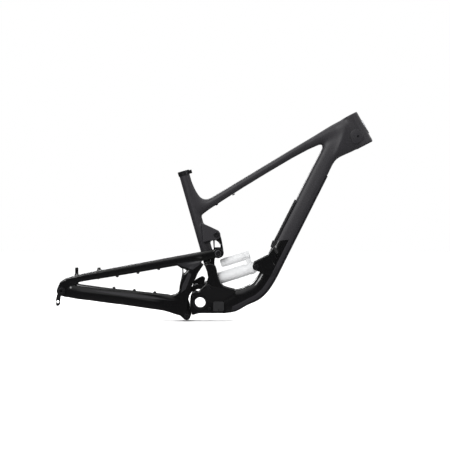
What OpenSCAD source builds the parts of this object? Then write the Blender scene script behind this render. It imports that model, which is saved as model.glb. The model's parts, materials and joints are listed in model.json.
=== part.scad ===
// Full-suspension mountain-bike frame: front triangle, four-bar rear suspension, air shock.
// Millimetres. Origin at the bottom bracket centre, +X forward, +Y to the rider's left, +Z up.

/* [Front triangle] */
// Height of the head tube's top centre above the bottom bracket
stack = 613; // [607:1:619]
// Distance of the head tube's top centre ahead of the bottom bracket
reach = 489; // [484:1:494]
// Head tube angle from horizontal, degrees
head_angle = 62.3; // [62:0.1:62.6]
// Length of the head tube
head_tube_length = 111.5; // [109:0.5:114]
// Outer diameter of the head tube at its top
head_tube_top_d = 54; // [53:0.5:56]
// Outer diameter of the head tube at its bottom
head_tube_bottom_d = 59; // [58:0.5:61]
// Seat tube angle from vertical, degrees
seat_lean = 15.9; // [15.7:0.1:16.1]
// Height of the seat tube's top edge above the bottom bracket
seat_tube_top = 426; // [420:1:432]
// Outer diameter of the seat tube
seat_tube_d = 34.9; // [34.5:0.1:35.5]

/* [Standard interfaces] */
// Seatpost bore diameter
seatpost_d = 30.9; // [30.9, 31.6]
// Upper headset bore diameter
headset_upper_d = 44; // [43.95:0.01:44.05]
// Lower headset bore diameter
headset_lower_d = 52.1; // [52:0.05:52.2]
// Bottom bracket shell width
bb_width = 73; // [72.5:0.5:73.5]
// Bottom bracket bore diameter
bb_bore_d = 34.4; // [34:0.1:34.8]
// Width between the rear dropouts
hub_width = 148; // [147:0.5:149]
// Rear axle diameter
axle_d = 12; // [11.9:0.05:12.1]
// Distance between the two brake posts
brake_post_spacing = 74.2; // [74:0.1:74.4]

/* [Suspension] */
// Radius of the axles at the main pivots
pivot_r = 6; // [5.8:0.1:6.2]
// Running clearance between an axle and its bearing
running = 0.05; // [0.03:0.01:0.08]
// Extra bore radius at the lower stay pivot, whose path is only nearly circular
lower_pivot_play = 1.5; // [1.4:0.1:1.8]
// Extra bore radius at the shock's rear eye
shock_eye_play = 0.8; // [0.7:0.1:1]
// Outer radius of the shock's air can
can_r = 19; // [18:0.5:20]
// Outer radius of the shock's reservoir
reservoir_r = 14; // [13:0.5:15]

/* [Hidden] */

$fn = 48;
fine = 96;

// Suspension pivots in the side plane: forward and up from the bottom bracket.
pivot_a = [28, 51.5];     // lower link on the frame
pivot_b = [-44, -44];     // lower link on the stays
pivot_c = [53, 221];      // upper link on the seat tube
pivot_d = [58.5, 161];    // upper link on the stays
pivot_e = [-12, 55];      // shock on the upper link's lower arms
pivot_f = [184, 117];     // shock on the down tube
rear_axle = [-448.5, 39];

// Half-widths of the layers that pass each other, from the middle outwards.
arm_in = 20.5;            // upper link plates
arm_out = 26.5;
ear_in = 27.5;            // bracket ears and lower link plates
ear_out = 34;
wall_in = 35;             // tower walls
wall_out = 41;
stay_in = 42.5;           // rear stays beside the tower
axle_head = 2.6;          // thickness of a pivot bolt's head

head_up = [-cos(head_angle), sin(head_angle)];
head_back = [-sin(head_angle), -cos(head_angle)];
head_top = [reach, stack];
head_bottom = head_top - head_tube_length * head_up;
seat_up = [-sin(seat_lean), cos(seat_lean)];
seat_base = [31.6, 124];
seat_tube_length = (seat_tube_top - seat_base[1]) / seat_up[1];
seat_top = seat_base + seat_tube_length * seat_up;
shock_length = norm(pivot_e - pivot_f);
shock_back = (pivot_e - pivot_f) / shock_length;
hub_half = hub_width / 2;
down_angle = 63.2;        // slope of the down tube's straight stretch

// Colours
charcoal = "#47464b";
gloss_black = "#161618";
trim_black = "#222224";
alloy = "#8d9095";
pale_grey = "#d4d5d7";
rubber_black = "#1b1b1c";

// ---- Shape tools ----

// Point on the signed power curve that makes a rounded rectangle out of a circle.
function squared(v, power) = sign(v) * pow(abs(v), 2 / power);

// One point of a tube section. A station is [x, z, y, lean, half_depth, half_width, power]:
// lean is the direction of the section's depth in the side plane, in degrees.
function section_point(s, a) =
  let (u = squared(cos(a), s[6]) * s[4], v = squared(sin(a), s[6]) * s[5])
  [s[0] + u * cos(s[3]), s[2] + v, s[1] + u * sin(s[3])];

// Station whose section reaches from one edge point to the other, at a distance y to the side.
function between(upper, lower, y, half_width, power) =
  let (d = upper - lower, middle = (upper + lower) / 2)
  [middle[0], middle[1], y, atan2(d[1], d[0]), norm(d) / 2, half_width, power];

// Smooth curve through a list of stations.
function curve(p, t) =
  let (
    n = len(p) - 1, i = min(floor(t), n - 1), f = t - i,
    p0 = p[max(i - 1, 0)], p1 = p[i], p2 = p[i + 1], p3 = p[min(i + 2, n)]
  )
  0.5 * (2 * p1 + (p2 - p0) * f + (2 * p0 - 5 * p1 + 4 * p2 - p3) * f * f
    + (3 * p1 - p0 - 3 * p2 + p3) * f * f * f);

function reversed(list) = [for (k = [len(list) - 1 : -1 : 0]) list[k]];

// Solid tube swept smoothly through its stations.
module tube(stations, sides = 32, steps = 3) {
  rings = (len(stations) - 1) * steps + 1;
  points = [
    for (r = [0 : rings - 1]) let (s = curve(stations, r / steps))
    for (k = [0 : sides - 1]) section_point(s, 360 * k / sides)
  ];
  walls = [
    for (r = [0 : rings - 2], k = [0 : sides - 1]) let (a = r * sides, n = (k + 1) % sides)
    each [[a + k, a + n, a + sides + n], [a + k, a + sides + n, a + sides + k]]
  ];
  first = [for (k = [sides - 1 : -1 : 0]) k];
  last = [for (k = [0 : sides - 1]) (rings - 1) * sides + k];
  faces = concat(walls, [first, last]);
  step = stations[1] - stations[0];
  ahead = step[1] * cos(stations[0][3]) - step[0] * sin(stations[0][3]);
  polyhedron(points, ahead < 0 ? [for (f = faces) reversed(f)] : faces, convexity = 8);
}

// Side outline, forward and up, made solid between two distances from the middle.
module slab(y0, y1) {
  translate([0, y1, 0]) rotate([90, 0, 0]) linear_extrude(y1 - y0) children();
}

// Cylinder across the frame at a side-plane point.
module across(p, r, y0, y1, fn = fine) {
  translate([p[0], y1, p[1]]) rotate([90, 0, 0]) cylinder(r = r, h = y1 - y0, $fn = fn);
}

// Children drawn up +Z are laid in the side plane from p towards direction d.
module along(p, d) {
  translate([p[0], 0, p[1]]) rotate([0, atan2(d[0], d[1]), 0]) children();
}

module both_sides() {
  children();
  mirror([0, 1, 0]) children();
}

// Two discs and the straight flanks that touch both.
module bar(p, rp, q, rq) {
  d = q - p;
  a = atan2(d[1], d[0]);
  b = acos((rp - rq) / norm(d));
  translate(p) circle(rp, $fn = fine);
  translate(q) circle(rq, $fn = fine);
  polygon([
    p + rp * [cos(a + b), sin(a + b)], p + rp * [cos(a - b), sin(a - b)],
    q + rq * [cos(a - b), sin(a - b)], q + rq * [cos(a + b), sin(a + b)]
  ]);
}

// Bolt head facing outwards, with a hex socket; drawn up +Z from its seat.
module bolt_head(r, h, socket) {
  difference() {
    union() {
      cylinder(r = r, h = h * 0.7, $fn = fine);
      cylinder(r = r * 0.88, h = h, $fn = fine);
    }
    translate([0, 0, h * 0.4]) cylinder(r = socket, h = h, $fn = 6);
  }
}

// Bolt head on the right-hand side at a side-plane point.
module right_head(p, y, r, h, socket) {
  translate([p[0], -y, p[1]]) rotate([90, 0, 0]) bolt_head(r, h, socket);
}

// ---- Front triangle ----

module head_solid() {
  along(head_bottom, head_up)
    cylinder(r1 = head_tube_bottom_d / 2, r2 = head_tube_top_d / 2, h = head_tube_length, $fn = fine);
}

module head_tube() {
  seat_depth = 12;
  bore_mid = 40;
  color(charcoal) difference() {
    head_solid();
    along(head_bottom, head_up) {
      translate([0, 0, -1]) cylinder(d = headset_lower_d, h = seat_depth + 1, $fn = fine);
      translate([0, 0, -1]) cylinder(d = bore_mid, h = head_tube_length + 2, $fn = fine);
      translate([0, 0, head_tube_length - seat_depth])
        cylinder(d = headset_upper_d, h = seat_depth + 1, $fn = fine);
    }
  }
}

top_tube_path = [
  between([-33, 409], [-14.6, 271], 0, 15, 2.6), between([-20, 377], [-3, 279], 0, 15.5, 2.6),
  between([-7.5, 354.5], [8, 287.5], 0, 16, 2.6), between([4, 342], [18, 295.5], 0, 16.5, 2.6),
  between([19, 337.6], [30, 304.5], 0, 17, 2.6), between([42, 347], [50, 317.5], 0, 18, 2.7),
  between([127, 397.8], [140.5, 375.5], 0, 19, 2.8), between([290, 495.8], [303.7, 473.4], 0, 21, 2.8),
  between([378, 548.2], [395.5, 518.5], 0, 23, 2.8), between([427, 578.5], [454.5, 530], 0, 25, 2.8),
  between([472, 602.3], [507, 538], 0, 25, 2.8)
];

module top_tube() {
  color(charcoal) difference() {
    tube(top_tube_path, 32, 2);
    head_solid();
    seat_tube_solid();
  }
}

// Down tube from the head tube down to the bottom bracket block.
down_tube_path = [
  [518, 545.5, 0, 117.7, 33, 25, 2.8], [484.5, 530, 0, 123, 38.5, 26, 2.8],
  between([415.8, 539.2], [472.5, 482.5], 0, 27, 2.8), between([393.8, 493.9], [442.5, 464], 0, 27, 3),
  between([365, 438.8], [415.8, 413.2], 0, 27.5, 3), [361, 367.5, 0, 153.2, 28.5, 28, 3],
  [281.4, 210.3, 0, 153.2, 28.9, 29, 3], [246.6, 140.7, 0, 153.4, 28.9, 30, 3],
  [219.3, 84.6, 0, 152, 27.7, 31, 3], [193.7, 48, 0, 146, 28.4, 32, 3],
  [168, 30.2, 0, 134, 30.6, 33, 3.2], [139.6, 17.9, 0, 118, 29.3, 34.5, 3.4],
  [108, 8.8, 0, 102, 37.9, 36, 3.6], [72, 7.8, 0, 92, 42.4, 36.5, 4]
];

module down_tube() {
  color(gloss_black) difference() {
    tube(down_tube_path);
    head_solid();
    bottom_bracket_envelope();
    tunnel();
  }
}

module seat_tube_solid() {
  along(seat_base, seat_up) cylinder(d = seat_tube_d, h = seat_tube_length, $fn = fine);
}

module seat_tube() {
  post_depth = 210;
  color(charcoal) difference() {
    seat_tube_solid();
    along(seat_base, seat_up) {
      translate([0, 0, seat_tube_length - post_depth])
        cylinder(d = seatpost_d, h = post_depth + 1, $fn = fine);
      translate([-1.5, -1.5, seat_tube_length - 22]) rotate([0, 0, 180])
        translate([0, -1.5, 0]) cube([30, 3, 30]);
    }
  }
}

bracket_outline = [
  [4, 258], [12, 257], [60, 235], [66, 226], [67, 214], [61, 207], [44, 202.5], [30, 201], [10, 196]
];

// Bracket on the front of the seat tube: a middle lug and two ears for the upper link's axle.
module link_bracket() {
  lug_half = 19.5;
  color(charcoal) difference() {
    union() {
      slab(-lug_half, lug_half) {
        polygon(bracket_outline);
        polygon([[20, 204], [30.8, 204], [41, 168], [33, 166], [22, 190]]);
      }
      both_sides() slab(ear_in, ear_out) polygon(bracket_outline);
      slab(-ear_out, ear_out) polygon([[4, 258], [12, 257], [38, 245.5], [37, 203], [30, 201], [12, 197]]);
    }
    seat_tube_solid();
    across(pivot_c, pivot_r, -ear_out - 1, ear_out + 1);
  }
}

// Room inside the tower and the block for the shock's eye and the upper link's arms.
module tunnel() {
  floor_z = 28.5;
  slab(-wall_in, wall_in)
    polygon([[-60, floor_z], [112, floor_z], [112, 90], [62, 125], [33.5, 108], [-60, 108]]);
}

sleeve_r = 21.5;          // outside of the bottom bracket sleeve
ring_r = 24;              // outside of its end rings

tower_outline = [
  [-31.5, 22], [-27, 33], [-15, 39.2], [-8, 35.5], [-3, 38.5], [14, 57], [23, 68], [26, 78],
  [23.5, 98], [18.5, 112], [15, 124], [24, 127], [40, 126.5], [46.5, 124], [50.5, 118], [53.5, 110],
  [56.7, 92.5], [63.3, 72.8], [70, 61], [76.4, 54.4], [90, 49.4], [116, 43.4], [112, 20], [84, 5],
  [36, 5], [30, 10], [-20, 8], [-31, 12]
];

// Two walls that leave room between them for the shock and the links.
module seat_tower() {
  color(gloss_black) difference() {
    both_sides() slab(wall_in, wall_out) polygon(tower_outline);
    bottom_bracket_envelope();
    across([0, 0], ring_r, -60, 60);
    across(pivot_a, pivot_r, -wall_out - 1, wall_out + 1);
  }
}

// Joins the tops of the walls to the foot of the seat tube.
module tower_bridge() {
  color(gloss_black) difference() {
    union() {
      slab(-wall_in, wall_in) polygon([[19, 109], [15, 124], [24, 127], [33.5, 127], [33.5, 109]]);
      slab(-arm_out, arm_out) polygon([[9, 138], [6, 150], [33, 150], [33, 120], [14, 120]]);
    }
    seat_tube_solid();
  }
}

block_outline = [
  [-26, 28.5], [-31, 24], [-33, 10], [-33.5, -5], [-32, -20], [-29, -34], [-25, -41.5], [-9, -36.3],
  [0, -34.8], [84, -34.8], [84, 28.5]
];

module bottom_bracket_envelope() {
  slab(-bb_width / 2, bb_width / 2) polygon(block_outline);
}

module bottom_bracket_block() {
  color(gloss_black) difference() {
    bottom_bracket_envelope();
    across([0, 0], sleeve_r, -bb_width, bb_width);
  }
}

module bottom_bracket_sleeve() {
  lip = 1.2;
  color(trim_black) difference() {
    union() {
      across([0, 0], sleeve_r, -bb_width / 2 - lip, bb_width / 2 + lip);
      both_sides() across([0, 0], ring_r, bb_width / 2, bb_width / 2 + lip);
    }
    across([0, 0], bb_bore_d / 2, -bb_width, bb_width);
  }
}

mount_outline = [
  [172.5, 124], [175, 133.5], [187, 139], [200, 145.7], [222, 157], [238, 182], [252, 160],
  [226, 104], [196, 99], [184, 106]
];

module shock_mount() {
  mount_in = 28;
  mount_out = 35;
  head_room = 29.5;
  color(gloss_black) difference() {
    union() {
      both_sides() slab(mount_in, mount_out) union() {
        bar(pivot_f, 13, [226, 112], 22);
        polygon(mount_outline);
      }
      slab(-mount_in, mount_in) polygon([[222, 150], [238, 182], [252, 160], [222, 98], [213, 102]]);
    }
    across(pivot_f, head_room, -mount_in, mount_in);
    across(pivot_f, 5, -mount_out - 1, mount_out + 1);
  }
}

// ---- Fittings on the front triangle ----

clamp_height = 14.5;
clamp_lift = 4.2;         // the collar's top above the seat tube's edge
clamp_ear = 9.4;

module seat_clamp() {
  wall = 1.7;
  color(trim_black) along(seat_base, seat_up)
    translate([0, 0, seat_tube_length - clamp_height + clamp_lift]) difference() {
      union() {
        cylinder(d = seat_tube_d + 2 * wall, h = clamp_height, $fn = fine);
        translate([0, -8, 0.5]) cube([seat_tube_d / 2 + clamp_ear, 16, clamp_height - 3]);
      }
      translate([0, 0, -1]) cylinder(d = seat_tube_d, h = clamp_height - clamp_lift + 1, $fn = fine);
      translate([0, 0, -1]) cylinder(d = seatpost_d + 0.4, h = clamp_height + 2, $fn = fine);
      translate([0, -1.5, -1]) cube([40, 3, clamp_height + 2]);
      translate([seat_tube_d / 2 + 5, 10, clamp_height / 2 - 1]) rotate([90, 0, 0])
        cylinder(r = 2.5, h = 20);
    }
}

module seat_clamp_bolt() {
  color(alloy) along(seat_base, seat_up)
    translate([seat_tube_d / 2 + 5, 0, seat_tube_length - clamp_height / 2 + clamp_lift - 1])
    rotate([90, 0, 0]) {
      translate([0, 0, -8]) cylinder(r = 2.5, h = 16);
      translate([0, 0, 8]) bolt_head(4, 3.4, 2.2);
    }
}

port_centre = head_bottom + 0.34 * head_tube_length * head_up + 9 * head_back;

module port_outline() {
  along2 = 21;
  translate(port_centre) rotate(head_angle + 90 - 180) union() {
    intersection() {
      square([2 * along2, 34], center = true);
      translate([6, 0]) circle(28, $fn = fine);
    }
  }
}

module cable_port() {
  face = 29.8;
  difference() {
    slab(24, face) port_outline();
    head_solid();
    across(port_centre, 2.5, 0, face + 1);
  }
}

module cable_port_left() {
  color(charcoal) cable_port();
}

module cable_port_right() {
  color(charcoal) mirror([0, 1, 0]) cable_port();
}

module cable_port_bolts() {
  face = 29.8;
  color(trim_black) both_sides() {
    across(port_centre, 2.5, face - 1, face);
    translate([port_centre[0], face, port_centre[1]]) rotate([-90, 0, 0]) bolt_head(4, 1.8, 2);
  }
}

// Plain rounded shield, with no mark on it.
function badge_point(a) = [12 * squared(cos(a), 2.6), 24 * squared(sin(a), 2.2)];

module head_badge() {
  lift = 2.4;
  height = 54;
  color(alloy) difference() {
    intersection() {
      along(head_bottom, head_up)
        cylinder(r1 = head_tube_bottom_d / 2 + lift, r2 = head_tube_top_d / 2 + lift,
          h = head_tube_length, $fn = fine);
      along(head_bottom, head_up) translate([0, 0, height]) rotate([90, 0, 90])
        linear_extrude(40) polygon([for (a = [0 : 10 : 350]) badge_point(a)]);
    }
    head_solid();
  }
}

// Frame along the down tube: children's +Z runs down it, +X points to the inside of the frame.
down_point = [312.8, 335.8];
down_axis = [-cos(down_angle), -sin(down_angle)];
down_depth = 28.7;

module on_down_tube() {
  surface = down_point - down_depth * [-sin(down_angle), cos(down_angle)];
  along(surface, down_axis) children();
}

door_length = 150;
door_half = 20;
door_seat = down_depth - 3;
door_top = down_depth + 3.1;
bottle_rows = [32, 96];
bottle_recess = 2.4;
latch_pin = 172;          // distance of the latch's hinge down the tube
latch_half = 9;
latch_pin_r = 1.6;
latch_pin_x = down_depth + 2.6;

module storage_door() {
  corner = 12;
  lug = 3.4;
  color(trim_black) difference() {
    union() {
      on_down_tube() translate([door_seat, 0, 0]) rotate([0, 90, 0])
        linear_extrude(door_top - door_seat) {
          translate([-door_length + corner, -door_half])
            square([door_length - 2 * corner, 2 * door_half]);
          translate([-door_length, -door_half + corner])
            square([door_length, 2 * (door_half - corner)]);
          for (x = [-corner, corner - door_length], y = [-1, 1])
            translate([x, y * (door_half - corner)]) circle(corner);
        }
      on_down_tube() for (y = [-latch_half - 0.4 - lug, latch_half + 0.4])
        translate([door_seat, y, door_length - 14]) cube([6.4, lug, latch_pin - door_length + 17]);
    }
    on_down_tube() for (z = bottle_rows) {
      translate([20, 0, z]) rotate([0, 90, 0]) cylinder(r = 2.5, h = 30);
      translate([door_top - bottle_recess, 0, z]) rotate([0, 90, 0]) cylinder(r = 5, h = 10);
    }
    on_down_tube() translate([latch_pin_x, 20, latch_pin]) rotate([90, 0, 0])
      cylinder(r = latch_pin_r + running, h = 40);
  }
}

module bottle_bolts() {
  color(alloy) on_down_tube() for (z = bottle_rows) {
    translate([door_seat + 0.5, 0, z]) rotate([0, 90, 0])
      cylinder(r = 2.5, h = door_top - bottle_recess - door_seat - 0.5);
    translate([door_top - bottle_recess, 0, z]) rotate([0, 90, 0]) bolt_head(4.5, 2.6, 2.2);
  }
}

module storage_latch() {
  foot = down_depth + 1;
  color(alloy) on_down_tube() {
    translate([0, latch_half, 0]) rotate([90, 0, 0]) linear_extrude(2 * latch_half) polygon([
      [foot, door_length + 1.2], [down_depth + 6.6, door_length + 2], [down_depth + 7.2, door_length + 5],
      [down_depth + 4.4, latch_pin + 1], [down_depth + 2.8, latch_pin + 2], [foot, latch_pin + 1]
    ]);
    translate([latch_pin_x, latch_half + 3.4, latch_pin]) rotate([90, 0, 0])
      cylinder(r = latch_pin_r, h = 2 * latch_half + 6.8);
  }
}

// Two bolts for an accessory, under the rear of the top tube.
module top_tube_bolts() {
  spacing = 64;
  first = [46.8, 333.4];
  depth = 14;
  slope = 31.3;
  color(trim_black) for (k = [0, 1])
    along(first + k * spacing * [cos(slope), sin(slope)], [sin(slope), -cos(slope)])
      translate([0, 0, depth]) bolt_head(4.5, 3.4, 2.2);
}

// Rubber strip that follows the outside of the down tube.
guard_first = 4;
function guard_station(s) = [
  s[0] - s[4] * cos(s[3]), s[1] - s[4] * sin(s[3]), 0, s[3], 2, 0.66 * s[5], 3
];

module down_tube_guard() {
  color(rubber_black)
    tube([for (k = [guard_first : len(down_tube_path) - 1]) guard_station(down_tube_path[k])], 16, 3);
}

cover_outline = [[43, -28], [74, -28], [78, -24], [78, 0], [74, 4], [47, 4], [43, 0]];

module chain_guide_cover() {
  thick = 4;
  color(trim_black) slab(-bb_width / 2 - thick, -bb_width / 2) difference() {
    polygon(cover_outline);
    translate([60, -24]) circle(2);
  }
}

module chain_guide_bolts() {
  color(alloy) {
    right_head([-21.5, 18.5], wall_out, 3.6, 2.4, 1.8);
    right_head([31, -20], bb_width / 2, 4.4, 2.8, 2.2);
  }
}

// ---- Pivots held by the front triangle ----

module upper_pivot_axle() {
  color(trim_black) difference() {
    across(pivot_c, pivot_r, -ear_out, ear_out);
    across(pivot_c, 2.5, -60, 60);
  }
  color(trim_black) both_sides() right_head(pivot_c, ear_out, 9, axle_head, 4);
}

module lower_pivot_bolts() {
  color(trim_black) both_sides() {
    across(pivot_a, pivot_r, -wall_out, -ear_in - 0.3);
    right_head(pivot_a, wall_out, 8.5, axle_head, 4);
  }
}

trunnion_r = 5;

module shock_front_bolts() {
  mount_out = 35;
  color(trim_black) both_sides() {
    across(pivot_f, trunnion_r, -mount_out, -19);
    right_head(pivot_f, mount_out, 8.5, axle_head, 3.5);
  }
}

// ---- Upper link ----

// Plate from the seat tube pivot through the stay pivot to the shock's rear eye.
arm_outline = [
  [46, 158], [37, 149], [35, 140], [35, 106], [30, 90], [24, 76], [20, 62], [14.5, 57.5], [12.8, 63],
  [15.8, 74], [16, 79], [11.5, 83.5], [6, 85.3], [-5, 80], [-15, 74], [-24, 66], [-18, 46], [20, 44],
  [38, 47], [50, 58], [54, 75], [49, 98], [46.5, 120], [47, 137], [49, 146.5]
];
rear_strut = [
  [41, 222], [42.3, 203], [44.3, 178], [46, 163], [51, 165], [47.3, 180], [47.6, 203], [50, 214]
];
front_strut = [
  [62, 228], [66, 205], [66.4, 180], [61, 165], [77, 163], [75, 178], [70.5, 204], [65.5, 222]
];
window_top = [[48, 218], [48, 203.5], [54, 201.5], [60.5, 196.8], [65.3, 188.5], [70, 204], [65, 222]];
window_foot = [[45.6, 168], [45.6, 180], [68, 180], [72, 168]];
bearing_r = 9.5;
shock_bolt_r = 5;
shock_bolt_head = 8;

module upper_link() {
  boss_c = 12.5;
  boss_d = 16.5;
  boss_e = 12;
  rib = 3;
  color(gloss_black) difference() {
    slab(arm_in, arm_out) {
      translate(pivot_c) circle(boss_c, $fn = fine);
      translate(pivot_d) circle(boss_d, $fn = fine);
      translate(pivot_e) circle(boss_e, $fn = fine);
      polygon(arm_outline);
      polygon(rear_strut);
      polygon(front_strut);
      polygon(window_top);
      polygon(window_foot);
    }
    across(pivot_c, bearing_r, arm_in - 1, arm_out + 1);
    across(pivot_d, pivot_r, arm_in - 1, arm_out + 1);
    across(pivot_e, shock_bolt_r, arm_in - 1, arm_out + 1);
    across(pivot_e, shock_bolt_head, arm_out - rib, arm_out + 1);
  }
}

module upper_link_left() {
  upper_link();
}

module upper_link_right() {
  mirror([0, 1, 0]) upper_link();
}

module upper_link_crossbar() {
  bar_r = 10;
  color(gloss_black) difference() {
    across(pivot_d, bar_r, -arm_in, arm_in);
    across(pivot_d, pivot_r, -arm_in - 1, arm_in + 1);
  }
}

module stay_pivot_axle() {
  stay_out = 42;
  color(trim_black) {
    across(pivot_d, pivot_r, -stay_out - 0.4, stay_out + 0.4);
    both_sides() right_head(pivot_d, stay_out + 0.4, 9, axle_head, 4);
  }
}

module shock_rear_bolt() {
  color(alloy) difference() {
    union() {
      across(pivot_e, shock_bolt_r, -arm_out, arm_out);
      both_sides() across(pivot_e, shock_bolt_head, arm_out - 3, arm_out);
    }
    across(pivot_e, 2.5, -40, 40);
  }
}

module upper_link_bearings() {
  color(alloy) both_sides() difference() {
    across(pivot_c, bearing_r, arm_in, arm_out);
    across(pivot_c, pivot_r + running, arm_in - 1, arm_out + 1);
  }
}

// ---- Lower link ----

link_route = [[-8, 52], [-33, 40], [-48, 16], [-49, -14]];
link_half = 7.5;
link_web = [
  [-44, 14], [-37, 4], [-35, -6], [-33.6, -20], [-31, -33], [-29, -44], [-44, -44], [-49, -14]
];
link_bearing_r = 8.5;

module lower_link() {
  boss_a = 11.5;
  boss_b = 13;
  tube_r = 11;
  brace_r = 6;
  color(gloss_black) difference() {
    union() {
      both_sides() slab(ear_in + 0.5, ear_out) {
        bar(pivot_a, boss_a, link_route[0], link_half);
        for (k = [0 : 2]) bar(link_route[k], link_half, link_route[k + 1], link_half);
        bar(link_route[3], link_half, pivot_b, boss_b);
      }
      across(pivot_b, tube_r, -ear_out, ear_out);
      both_sides() slab(ear_in + 0.5, ear_out) polygon(link_web);
      across([-48.5, 4], brace_r, -ear_out, ear_out);
    }
    across(pivot_a, link_bearing_r, -ear_out - 1, ear_out + 1);
    across(pivot_b, pivot_r + lower_pivot_play, -ear_out - 1, ear_out + 1);
  }
}

module lower_link_bearings() {
  color(alloy) both_sides() difference() {
    across(pivot_a, link_bearing_r, ear_in + 0.5, ear_out);
    across(pivot_a, pivot_r + running, ear_in - 1, ear_out + 1);
  }
}

// ---- Rear triangle ----

stay_tip_in = 36;         // stay tips beside the lower link
stay_tip_out = 50;

// Left-hand paths; the right-hand ones are mirrored.
chainstay_path = [
  between([-437, 47], [-440, 20], 79, 4.2, 3), between([-415, 58], [-417.5, 17], 80.3, 6.1, 3),
  between([-390, 56], [-392.5, 12.3], 77.5, 8, 3), between([-353, 51.3], [-357.5, 8.4], 74.5, 9, 3),
  between([-297.5, 44.2], [-302.6, 0.4], 70, 9.5, 3), between([-234.3, 38], [-239.7, -7.6], 64, 10, 3),
  between([-162, 30.5], [-168, -18.5], 57, 10, 3), between([-107, 25.3], [-116.4, -26.3], 51.5, 9.5, 3),
  between([-69, 14], [-83, -37], 48.5, 8.5, 3), between([-43.5, -2], [-61, -43], 47, 8, 3)
];
seatstay_path = [
  between([44.5, 173.8], [49.3, 145.8], 35.6, 5.5, 3), between([23.4, 169.6], [28.5, 140.6], 38.5, 6.5, 3),
  between([-3.6, 164.6], [1.7, 134.6], 43, 7.5, 3), between([-52.5, 155.7], [-47.1, 125.4], 49, 8, 3),
  between([-101.4, 146.7], [-96.2, 117.2], 54, 8, 3), between([-199.3, 128.6], [-194.3, 100.3], 63, 8, 3),
  between([-302.2, 110], [-297.4, 83.2], 72, 7.5, 3), between([-377.3, 96], [-372.6, 71.5], 77, 7, 3),
  between([-411, 87.5], [-402.5, 64], 80, 5.8, 3), between([-436, 80.5], [-417, 53], 79, 4.8, 3),
  between([-449.5, 70], [-427, 43], 79, 4.4, 3), between([-456.5, 56], [-431, 34], 79, 4.2, 3)
];
upright_path = [
  between([-23.3, 144], [12, 123.5], 46.5, 6, 3), between([-39, 110], [-7.2, 95.5], 49, 6, 3),
  between([-55, 93.5], [-13.5, 80], 50, 6, 3), between([-62, 76], [-20.5, 66.5], 50, 6, 3),
  between([-66.5, 57], [-27.5, 51], 50, 6.3, 3), between([-70.5, 25], [-37.5, 15], 49.5, 7, 3),
  between([-75, -1.5], [-41, -10.5], 48, 7.5, 3), between([-64.7, -29.3], [-39.3, -34.7], 46, 7, 3)
];
rib_path = [
  [-60, 124, 51, 176, 2.6, 4, 2.4], [-58, 97, 51, 178, 2.2, 4, 2.4], [-62.5, 70, 51, 170, 2.4, 4, 2.4],
  [-66, 42, 51, 175, 3, 4, 2.4]
];
gusset_outline = [
  [-84, 129], [-62, 113], [-40, 107], [-30, 98], [-12, 112], [6, 134], [4, 146], [-80, 137]
];

module chainstay() {
  color(gloss_black) tube(chainstay_path, 28, 2);
}

module chainstay_left() {
  chainstay();
}

module chainstay_right() {
  mirror([0, 1, 0]) chainstay();
}

stay_boss_r = 16;
boss_lobe = [61.5, 161.5];
heel_outline = [[-100, 22], [-84, 26], [-72, 33], [-66, 43], [-60, 30], [-60, -5], [-90, 0]];
stay_boss_in = 28;
stay_boss_out = 42;
stay_bearing_r = 10;

module seatstay() {
  color(gloss_black) tube(seatstay_path, 28, 2);
}

module seatstay_left() {
  seatstay();
}

module seatstay_right() {
  mirror([0, 1, 0]) seatstay();
}

module upright() {
  color(gloss_black) {
    tube(upright_path, 28, 2);
  }
}

// Lugs moulded into one side's stays: the upper pivot's boss, the web behind it, the lower tip.
module stay_lugs() {
  color(gloss_black) {
    difference() {
      slab(stay_boss_in, stay_boss_out) bar(pivot_d, stay_boss_r, boss_lobe, stay_boss_r - 0.1);
      across(pivot_d, stay_bearing_r, stay_boss_in - 1, stay_boss_out + 1);
    }
    slab(46, 53) polygon(gusset_outline);
    slab(44.5, 55.5) polygon(heel_outline);
    difference() {
      slab(stay_tip_in, stay_tip_out) bar(pivot_b, 12.2, [-66, -14], 20);
      across(pivot_b, pivot_r, stay_tip_in - 1, stay_tip_out + 1);
    }
  }
}

module stay_lugs_left() {
  stay_lugs();
}

module stay_lugs_right() {
  mirror([0, 1, 0]) stay_lugs();
}

module upright_left() {
  upright();
}

// Slim brace beside the left upright.
module upright_brace() {
  color(gloss_black) tube(rib_path, 12, 3);
}

module upright_right() {
  mirror([0, 1, 0]) upright();
}

// Cross pieces that join the two sides of the rear triangle.
module stay_bridges() {
  low_half = 41;
  high_half = 46;
  color(gloss_black) {
    slab(-low_half, low_half) bar([-66, -22], 6.5, [-66, 4], 6.5);
    slab(-high_half, high_half) bar([-44, 112], 6, [-40, 126], 6);
  }
}

dropout_out = hub_half + 10;
dropout_r = 15.5;

web_outline = [[-436, 77], [-418, 71], [-406.5, 63.8], [-406, 57.5], [-412, 45], [-428, 33], [-448, 39]];

module dropout_solid() {
  slab(hub_half, dropout_out) {
    bar(rear_axle, dropout_r, [-428, 33], 12);
    bar(rear_axle, dropout_r, [-441, 60], 14);
  }
  slab(hub_half + 1.5, dropout_out - 1) polygon(web_outline);
}

module dropout() {
  color(gloss_black) difference() {
    dropout_solid();
    across(rear_axle, axle_d / 2, 0, dropout_out + 1);
  }
}

module dropout_left() {
  dropout();
}

module dropout_right() {
  mirror([0, 1, 0]) dropout();
}

post_top = 113;
post_front = -337;
post_hole_r = 2.55;

module brake_posts() {
  post_r = 5.8;
  y = 76.5;
  color(gloss_black) difference() {
    for (p = [[post_front - brake_post_spacing, 72], [post_front, 88]])
      translate([p[0], y, p[1]]) union() {
        cylinder(r = post_r, h = post_top - p[1], $fn = fine);
        cylinder(r1 = post_r + 6, r2 = post_r, h = 20, $fn = fine);
      }
    for (x = [post_front - brake_post_spacing, post_front])
      translate([x, y, post_top - 9]) cylinder(r = post_hole_r, h = 10, $fn = fine);
  }
}

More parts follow.
